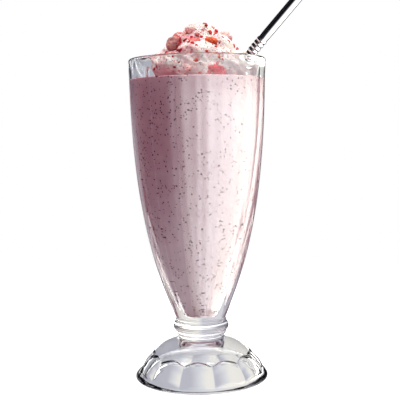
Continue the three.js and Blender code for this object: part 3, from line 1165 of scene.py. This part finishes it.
    def build(self, cream: WhippedCream) -> list[Object]:
        """Builds the crumbs, one object for each shade that has any.

        Args:
            cream: What they lie on.

        Returns:
            The objects.
        """
        crumbs = list(enumerate(self.laid(cream) + list(self.seen)))
        made = []
        for shade in Shade:
            lumps = [self.lump(crumb, cream, number) for number, crumb in crumbs if crumb.shade is shade]
            if not lumps:
                continue
            faces, first = [], 0
            for own, own_faces in lumps:
                faces.extend([i + first for i in face] for face in own_faces)
                first += len(own)
            name = f"crumbs_{shade.name.lower()}"
            material = StrawberryFlesh(f"strawberry_{name}", *shade.value, patch_mm=1.6).build()
            joined = make_object(name, np.concatenate([own for own, _ in lumps]), faces, material)
            dress(joined, "strawberry")
            made.append(joined)
        return made


@dataclass
class Straw:
    """The steel straw: long stretch, bend, ribbed stretch and smooth mouth."""

    radius: float = 3.0
    bore: float = 2.5
    azimuth: float = 62.5
    end: tuple = (-3.2, 51.0)
    corner: tuple = (34.8, 202.3)
    tilt: float = 45.1
    bend: float = 7.0
    ribbed: float = 8.1
    mouth: float = 40.0
    rib_pitch: float = 2.7
    rib_curve: float = 0.7
    crest: float = 3.3
    valley: float = 2.8
    sides: int = 64
    low_steps: int = 23
    bend_steps: int = 40
    slope_step: float = 0.05

    def path(self) -> Array:
        """Gives points of the middle line, in the plane of radius and height.

        Returns:
            One row of radius and height for each point.
        """
        end, corner = np.array(self.end), np.array(self.corner)
        lean = np.array((math.cos(math.radians(self.tilt)), math.sin(math.radians(self.tilt))))
        down = (end - corner) / np.linalg.norm(end - corner)
        start, bent = corner + down * self.bend, corner + lean * self.bend
        t = np.linspace(0, 1, self.bend_steps + 1)[:, None]
        curve = (1 - t) ** 2 * start + 2 * t * (1 - t) * corner + t * t * bent
        lower = end + (start - end) * np.linspace(0, 1, self.low_steps + 1)[:-1, None]
        upper = bent + lean * np.linspace(0, self.ribbed + self.mouth, 90)[1:, None]
        return np.concatenate([lower, curve, upper])

    def along(self, points: Array) -> Array:
        """Gives each point's distance from the first along the line."""
        steps = np.linalg.norm(np.diff(points, axis=0), axis=1)
        return np.concatenate([[0], np.cumsum(steps)])

    def section(self, far: Array) -> list[tuple]:
        """Gives the wall's outline: out along the ribs, round the mouth, back down the bore.

        Args:
            far: Each point's distance along the middle line.

        Returns:
            The distance along the line and the radius of each of its points.
        """
        total = far[-1]
        first = float(np.linalg.norm(np.array(self.corner) - np.array(self.end))) - self.bend
        last = first + (far[self.low_steps + self.bend_steps] - far[self.low_steps]) + self.ribbed
        stations = np.concatenate([
            np.linspace(0, first, 30)[:-1], np.linspace(first, last, 97), np.linspace(last, total, 12)[1:]])
        ribs = (stations >= first) & (stations <= last)
        wave = 0.5 - 0.5 * np.cos((stations - first) / self.rib_pitch * 2 * math.pi)
        ribbed = self.valley + (self.crest - self.valley) * wave ** self.rib_curve
        wall = (self.radius - self.bore) / 2
        middle = self.radius - wall
        caps = np.radians(np.linspace(0, 180, 9))[1:-1]
        outer = list(zip(stations, np.where(ribs, ribbed, self.radius)))
        lip = [(total + wall * math.sin(a), middle + wall * math.cos(a)) for a in caps]
        inner = [(s, self.bore) for s in np.linspace(total, 0, 60)]
        foot = [(-wall * math.sin(a), middle - wall * math.cos(a)) for a in caps]
        return outer + lip + inner + foot

    def build(self, material: Material) -> Object:
        """Builds the tube with its ribs, rolled ends and bore.

        Args:
            material: Its material.

        Returns:
            The straw.
        """
        line = self.path()
        far = self.along(line)

        def at(distance: float) -> Array:
            """Gives the middle line's point at a distance along it."""
            return np.array([np.interp(distance, far, line[:, 0]), np.interp(distance, far, line[:, 1])])

        turns = np.radians(np.arange(self.sides) * 360 / self.sides)
        across = place(self.azimuth + 90, 1.0, 0.0)
        rows = []
        for distance, radius in self.section(far):
            inside = min(max(distance, 0.0), far[-1])
            way = at(min(inside + self.slope_step, far[-1])) - at(max(inside - self.slope_step, 0))
            way /= np.linalg.norm(way)
            middle = at(inside) + way * (distance - inside)
            centre = place(self.azimuth, middle[0], middle[1])
            up = np.cross(place(self.azimuth, way[0], way[1]), across)
            rows.append(centre + radius * (np.outer(np.cos(turns), up) + np.outer(np.sin(turns), across)))
        faces = []
        for row in range(len(rows)):
            low, high = row * self.sides, (row + 1) % len(rows) * self.sides
            for i in range(self.sides):
                j = (i + 1) % self.sides
                faces.append((low + i, high + i, high + j, low + j))
        straw = make_object("steel_straw", np.concatenate(rows), faces, material)
        dress(straw, "steel", "straw")
        return straw


class View(Enum):
    """The photograph's view of the glass, as lengths in millimetres and angles in degrees."""

    DISTANCE = 530.0
    AIM_HEIGHT = 114.1
    PITCH = 4.4
    ROLL = 0.9
    LENS = 74.7
    SENSOR = 36.0
    AIM_SIDE = 0.57


@dataclass
class Studio:
    """A pale floor that fades into a white surround, lit softly from a large window on the right.

    The camera sees the surround as plain white. Other rays meet a light field of their own kind:
    the window lights matt surfaces, the cards and the table are what is mirrored, and behind is
    what shows through the glass. The softbox is added to behind for rays that were mirrored once
    and then came through the glass, such as the drink's sheen. A field's stops are azimuths in
    degrees from the viewer to +X, each with a share of its strength, and its top's stops are
    elevations with shares.
    """

    floor_radius_m: float = 0.55
    floor_fade: tuple = (0.35, 0.95)
    floor_seen: str = "FAFAFB"
    floor_lit: str = "9C9CA2"
    floor_grain_mm: float = 3.0
    floor_grain_depth_mm: float = 0.02
    floor_sides: int = 96
    window: tuple = (
        (-180, 0.5), (-110, 0.6), (-50, 0.65), (0, 0.6), (45, 0.65), (80, 0.75), (110, 1.0), (150, 1.1),
        (175, 0.6), (180, 0.5))
    window_top: tuple = ((-90, 0.3), (0, 0.2), (25, 0.35), (45, 1.0), (80, 2.2), (90, 2.4))
    window_strength: float = 2.75
    cards: tuple = (
        (-180, 0.06), (-165, 0.1), (-150, 0.15), (-138, 0.12), (-122, 0.01), (-91, 0.01), (-83, 0.22),
        (-75, 0.01), (-26, 0.02), (-19, 0.34), (-8, 0.38), (8, 0.5), (24, 0.92), (80, 1.0), (105, 0.8),
        (120, 0.6), (128, 0.06), (180, 0.03))
    cards_top: tuple = ((-90, 0.6), (-15, 0.9), (-1, 1.0), (4, 0.12), (90, 0.08))
    cards_strength: float = 4.2
    table: tuple = ((-180, 0.0), (-130, 0.0), (-100, 1.0), (100, 1.0), (125, 0.0), (180, 0.0))
    table_top: tuple = ((-90, 1.0), (-55, 1.0), (-42, 0.75), (-30, 0.2), (-22, 0.0), (90, 0.0))
    table_strength: float = 0.6
    behind: tuple = (
        (-180, 0.82), (-176, 0.66), (-165, 0.66), (-125, 0.7), (-85, 0.45), (-40, 0.55), (0, 0.6),
        (40, 0.7), (85, 0.35), (125, 0.9), (165, 0.97), (176, 0.97), (180, 0.82))
    behind_top: tuple = ((-90, 1.0), (35, 1.0), (60, 0.4), (90, 0.3))
    mirrored_behind_top: tuple = (
        (-90, 2.2), (-56, 2.2), (-46, 1.9), (-32, 1.1), (-20, 0.08), (4.1, 0.05), (4.4, 0.8), (90, 0.8))
    softbox: tuple = (
        (-180, 0.5), (-165, 0.45), (-148, 0.1), (-125, 0.01), (-48, 0.01), (-36, 0.1), (-24, 0.3),
        (-8, 0.18), (4, 0.16), (16, 0.58), (42, 0.42), (62, 0.66), (92, 0.74), (136, 0.95), (165, 1.0),
        (180, 0.6))
    softbox_top: tuple = ((-90, 0.3), (-50, 0.5), (-12, 1.0), (4.1, 1.0), (4.4, 0.03), (90, 0.02))
    softbox_strength: float = 6.0
    white: str = "FFFFFF"
    warm: str = "FFFBF6"
    warm_behind: str = "FFFAF0"
    warm_side: tuple = ((-180, 0.0), (45, 0.0), (85, 1.0), (176, 1.0), (180, 0.0))
    cool: str = "BEBADE"

    def floor(self) -> None:
        """Lays the pale floor, which is clear at its edge and to mirrored rays."""
        radius = self.floor_radius_m
        material, tree, spot = new_material("matt_white_paper")
        path = add_node(tree, "ShaderNodeLightPath").outputs
        grain = speckle(tree, spot, self.floor_grain_mm)
        paper = add_node(tree, "ShaderNodeBsdfDiffuse", {
            "Color": blend(tree, path["Is Diffuse Ray"], self.floor_seen, self.floor_lit),
            "Normal": bumped(tree, grain, self.floor_grain_depth_mm, 0.2)})
        clear = add_node(tree, "ShaderNodeBsdfTransparent")
        far = vector_maths(tree, "LENGTH", spot)
        span = (radius * share for share in self.floor_fade)
        edge = ranged(tree, far, *span, curve="SMOOTHSTEP")
        cover_in_part(tree, maths(tree, "MAXIMUM", edge, path["Is Glossy Ray"]), paper, clear)
        turns = np.radians(np.arange(self.floor_sides) * 360 / self.floor_sides)
        mesh = bpy.data.meshes.new("studio_floor")
        edge_points = [(radius * math.cos(t), radius * math.sin(t), 0.0) for t in turns]
        mesh.from_pydata(edge_points, [], [tuple(range(self.floor_sides))])
        mesh.materials.append(material)
        floor = shown("studio_floor", mesh)

    def ramp(self, tree: Tree, angle: Socket, span: float, stops: tuple) -> Socket:
        """Adds a ramp over an angle.

        Args:
            tree: The surround's tree.
            angle: The angle in radians.
            span: The largest angle in degrees, either way.
            stops: Angles in degrees with their values.

        Returns:
            The ramp's value.
        """
        along = ranged(tree, angle, -math.radians(span), math.radians(span))
        ramp = add_node(tree, "ShaderNodeValToRGB", {0: along})
        elements = ramp.color_ramp.elements
        while len(elements) < len(stops):
            elements.new(0.5)
        for element, (degrees, value) in zip(elements, stops):
            element.position = (degrees + span) / (2 * span)
            element.color = (value, value, value, 1.0)
        return ramp.outputs[0]

    def surround(self) -> None:
        """Makes the surround, with each kind of ray's light field."""
        world = bpy.data.worlds.new("studio")
        bpy.context.scene.world = world
        world.use_nodes = True
        tree = world.node_tree
        tree.nodes.clear()
        way = add_node(tree, "ShaderNodeTexCoord").outputs["Generated"]
        axes = add_node(tree, "ShaderNodeSeparateXYZ", {0: way}).outputs
        azimuth = maths(tree, "ARCTAN2", axes[0], maths(tree, "MULTIPLY", axes[1], -1.0))
        lift = maths(tree, "ARCSINE", axes[2])
        path = add_node(tree, "ShaderNodeLightPath").outputs

        def light(stops: tuple, top: tuple, strength: float = 1.0) -> Socket:
            """Adds one light field of the surround."""
            sides = self.ramp(tree, azimuth, 180, stops)
            both = maths(tree, "MULTIPLY", sides, self.ramp(tree, lift, 90, top))
            return maths(tree, "MULTIPLY", both, strength)

        lit = light(self.window, self.window_top, self.window_strength)
        carded = light(self.cards, self.cards_top, self.cards_strength)
        table = light(self.table, self.table_top, self.table_strength)
        softbox = light(self.softbox, self.softbox_top, self.softbox_strength)
        sheen = maths(tree, "ADD", light(self.behind, self.mirrored_behind_top), softbox)
        mirrored_once = maths(tree, "COMPARE", path["Glossy Depth"], 1.0, 0.1)
        through = choose(tree, mirrored_once, light(self.behind, self.behind_top), sheen)
        plain = choose(tree, path["Is Glossy Ray"], lit, maths(tree, "ADD", carded, table))
        bent = choose(tree, path["Is Transmission Ray"], plain, through)
        seen = choose(tree, path["Is Camera Ray"], bent, 1.0)
        warmed = blend(tree, self.ramp(tree, azimuth, 180, self.warm_side), self.white, self.warm_behind)
        bright = blend(tree, path["Is Transmission Ray"], self.warm, warmed)
        lamp = blend(tree, path["Is Camera Ray"], bright, self.white)
        sky = add_node(tree, "ShaderNodeBackground", {
            "Color": blend(tree, seen, self.cool, lamp), "Strength": seen})
        add_node(tree, "ShaderNodeOutputWorld", {0: sky.outputs[0]})

    def camera(self) -> None:
        """Sets the camera at the photograph's view."""
        pitch = math.radians(View.PITCH.value)
        aim = Vector((AXIS.x + View.AIM_SIDE.value * MM, AXIS.y, View.AIM_HEIGHT.value * MM))
        away = View.DISTANCE.value * MM
        data = bpy.data.cameras.new("photo_view")
        data.lens = View.LENS.value
        data.sensor_width = View.SENSOR.value
        camera = shown("photo_view", data)
        camera.location = aim + Vector((0, -away * math.cos(pitch), away * math.sin(pitch)))
        look = (aim - camera.location).to_track_quat("-Z", "Y")
        roll = Quaternion((0, 0, 1), math.radians(-View.ROLL.value))
        camera.rotation_euler = (look @ roll).to_euler()
        bpy.context.scene.camera = camera

    def build(self) -> None:
        """Builds the whole stage."""
        bpy.context.scene.view_settings.view_transform = "Standard"
        self.floor()
        self.surround()
        self.camera()


def main() -> None:
    """Builds the stage and the pieces in order."""
    logging.basicConfig(level=logging.INFO, format="%(name)s %(message)s")
    Studio().build()
    glass = SodaGlass()
    glass.build(PressedGlass().build())
    drink = Milkshake().build(glass, BlendedMilk().build())
    seed = StrawberrySeed().build()
    seeds = Scatter("seeds_in_drink", 95000, (0.7, 1.35), (1.0, 0.72, 0.38), 3, facing=(-1.0, 0.6),
                    dense_side=(-0.4, 0.0, 0.0))
    dress(seeds.build(drink, seed), "strawberry")
    mound = WhippedCream()
    cream = mound.build(WhippedDairy().build())
    StrawberryPieces().build()
    Crumbs().build(mound)
    dust = StrawberryFlesh("strawberry_dust", "C02840", "E07880", patch_mm=1.2).build()
    powder = Scatter("strawberry_powder", 900000, (0.2, 0.8), (1.0, 0.8, 0.6), 11, facing=(0.0, 1.0),
                     dense_side=(-1.0, -0.5, 0.0), clump_mm=6.0)
    dress(powder.build(cream, dust), "strawberry")
    specks = Scatter("seeds_on_cream", 60000, (0.5, 1.0), (1.0, 0.65, 0.5), 23, facing=(-0.1, 1.0),
                     dense_side=(-1.0, -0.5, 0.0), clump_mm=7.0)
    dress(specks.build(cream, seed), "strawberry")
    Straw().build(PolishedSteel().build())


if __name__ == "__main__":
    main()
